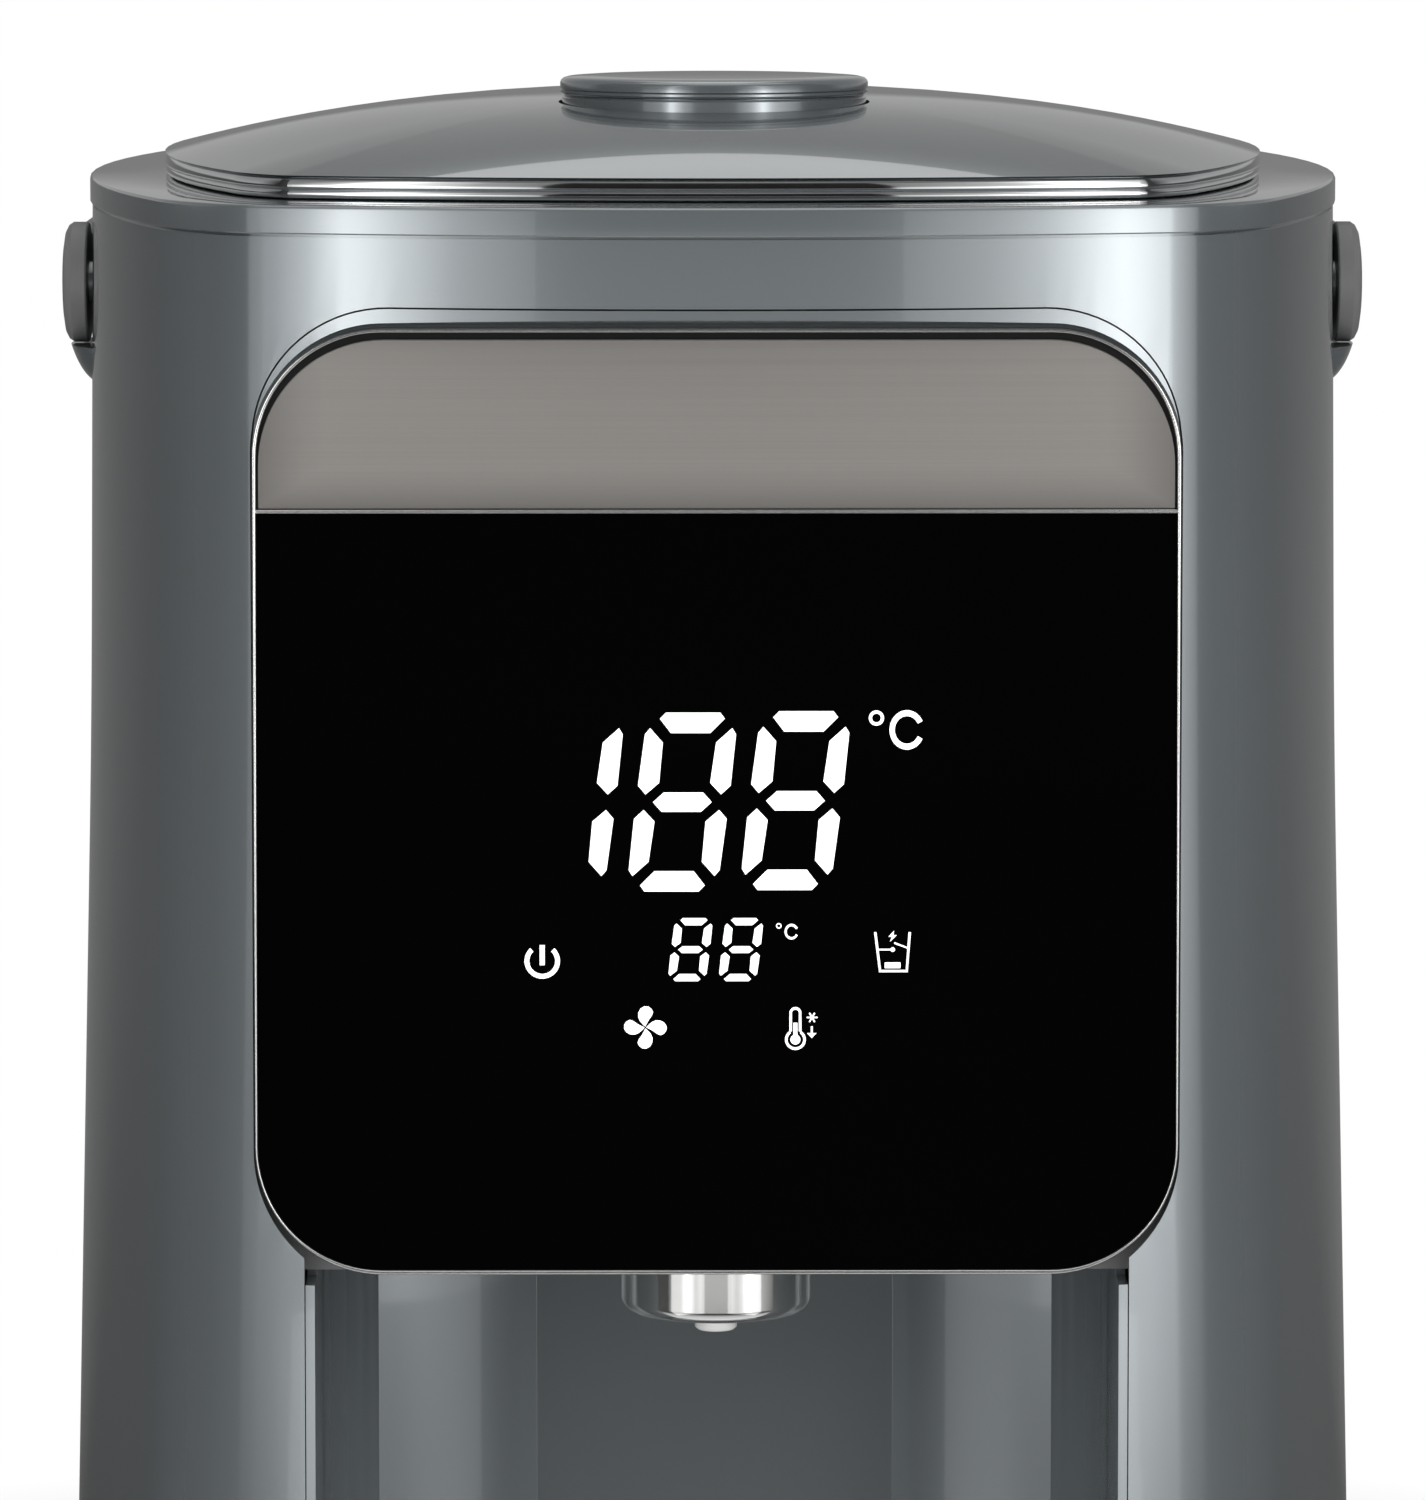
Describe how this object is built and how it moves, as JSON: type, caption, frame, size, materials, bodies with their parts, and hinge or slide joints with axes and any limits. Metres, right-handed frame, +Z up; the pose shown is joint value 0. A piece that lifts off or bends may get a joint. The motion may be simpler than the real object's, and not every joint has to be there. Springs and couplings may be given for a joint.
{
  "type": "electric thermo pot",
  "caption": "Tall insulated electric water pot with a domed latching lid, swing handle, slanted control panel, chrome spout over an open cup bay and a lift-out drip tray.",
  "frame": {"origin": "middle of the bounding box in plan, at the level the feet stand on", "axes": "+Z up, front with the panel and the cup bay towards -Y, +X to the right of someone facing the front"},
  "size_m": [0.2542, 0.3174, 0.3504],
  "materials": {
    "body_paint": "moulded plastic with glossy metallic graphite paint under a clear coat",
    "dark_plastic": "fine satin dark grey moulding",
    "black_plastic": "glossy black window",
    "chrome": "polished chrome plating",
    "header_metal": "warm grey, brushed lengthways",
    "steel": "plain steel",
    "pot_steel": "satin stainless steel",
    "light_plastic": "light grey moulding",
    "silicone": "milky silicone",
    "rubber": "black rubber",
    "insulation": "felt and foil blanket",
    "aluminium": "cast aluminium",
    "ceramic": "glazed ceramic bodies",
    "board": "green circuit board with parts",
    "led_white": "milky white diffuser",
    "spout_white": "bright spout tip",
    "brass": "brass pins"
  },
  "bodies": {
    "housing": {"outer_shell": "body_paint", "bay_liner": "body_paint", "base_pan": "dark_plastic", "tray_tub": "body_paint", "bottom_cover": "dark_plastic", "feet": "rubber", "cover_screws": "steel", "tie_rods": "steel", "top_collar": "body_paint", "hinge_block": "dark_plastic", "hinge_pin": "steel", "latch_keeper": "steel", "inner_pot": "pot_steel", "pot_seal": "silicone", "insulation_sleeve": "insulation", "heater_plate": "aluminium", "heater_clamp": "steel", "thermostats": "ceramic", "temperature_probe": "steel", "pump_housing": "dark_plastic", "pump_motor": "steel", "pot_outlet_hose": "silicone", "riser_hose": "silicone", "spout_elbow": "dark_plastic", "nozzle_shroud": "chrome", "spout_tip": "spout_white", "head_frame": "dark_plastic", "panel_bezel": "chrome", "header_plate": "header_metal", "display_glass": "black_plastic", "display_board": "board", "led_block": "led_white", "touch_springs": "steel", "panel_screws": "steel", "board_bracket": "dark_plastic", "power_board": "board", "fan_frame": "dark_plastic", "inlet_socket": "dark_plastic", "inlet_pins": "brass", "handle_bosses": "body_paint", "handle_pivots": "steel"},
    "lid": {"lid_cover": "body_paint", "lid_trim": "chrome", "lid_liner": "light_plastic", "lid_gasket": "silicone", "lid_screws": "steel", "vent_tube": "light_plastic", "button_spring": "steel"},
    "button": {"lid_button": "body_paint", "button_skirt": "body_paint"},
    "latch": {"latch_bolt": "steel"},
    "float": {"vent_float": "silicone"},
    "handle": {"carry_handle": "dark_plastic"},
    "pump_rotor": {"motor_rotor": "steel", "pump_impeller": "light_plastic"},
    "fan": {"fan_rotor": "dark_plastic"},
    "tray": {"drip_tray": "dark_plastic"},
    "grid": {"drip_grid": "steel"}
  },
  "joints": [
    {"name": "lid_hinge", "type": "hinge", "parent": "housing", "child": "lid", "pos_m": [0, 0.13, 0.336], "axis": [-1, 0, 0], "range_deg": [0, 85]},
    {"name": "button_press", "type": "slide", "parent": "lid", "child": "button", "axis": [0, 0, -1], "range_m": [0, 0.0025], "stiffness_N_per_m": 300, "springref_m": -0.005, "deforming": ["button_spring"]},
    {"name": "latch_slide", "type": "slide", "parent": "lid", "child": "latch", "axis": [0, 1, 0], "range_m": [0, 0.0035]},
    {"name": "float_lift", "type": "slide", "parent": "lid", "child": "float", "axis": [0, 0, 1], "range_m": [0, 0.0025]},
    {"name": "handle_swing", "type": "hinge", "parent": "housing", "child": "handle", "pos_m": [0, 0, 0.308], "axis": [1, 0, 0], "range_deg": [0, 100]},
    {"name": "pump_spin", "type": "hinge", "parent": "housing", "child": "pump_rotor", "pos_m": [-0.042, -0.028, 0.03], "axis": [0, 0, 1], "continuous": true},
    {"name": "fan_spin", "type": "hinge", "parent": "housing", "child": "fan", "pos_m": [0.018, 0.055, 0.01], "axis": [0, 0, 1], "continuous": true},
    {"name": "tray_lift", "type": "slide", "parent": "housing", "child": "tray", "axis": [0, 0, 1], "range_m": [0, 0.03]},
    {"name": "grid_lift", "type": "slide", "parent": "tray", "child": "grid", "axis": [0, 0, 1], "range_m": [0, 0.02]}
  ],
  "couplings": [
    {"joint": "latch_slide", "follows": "button_press", "ratio": 1.4}
  ]
}
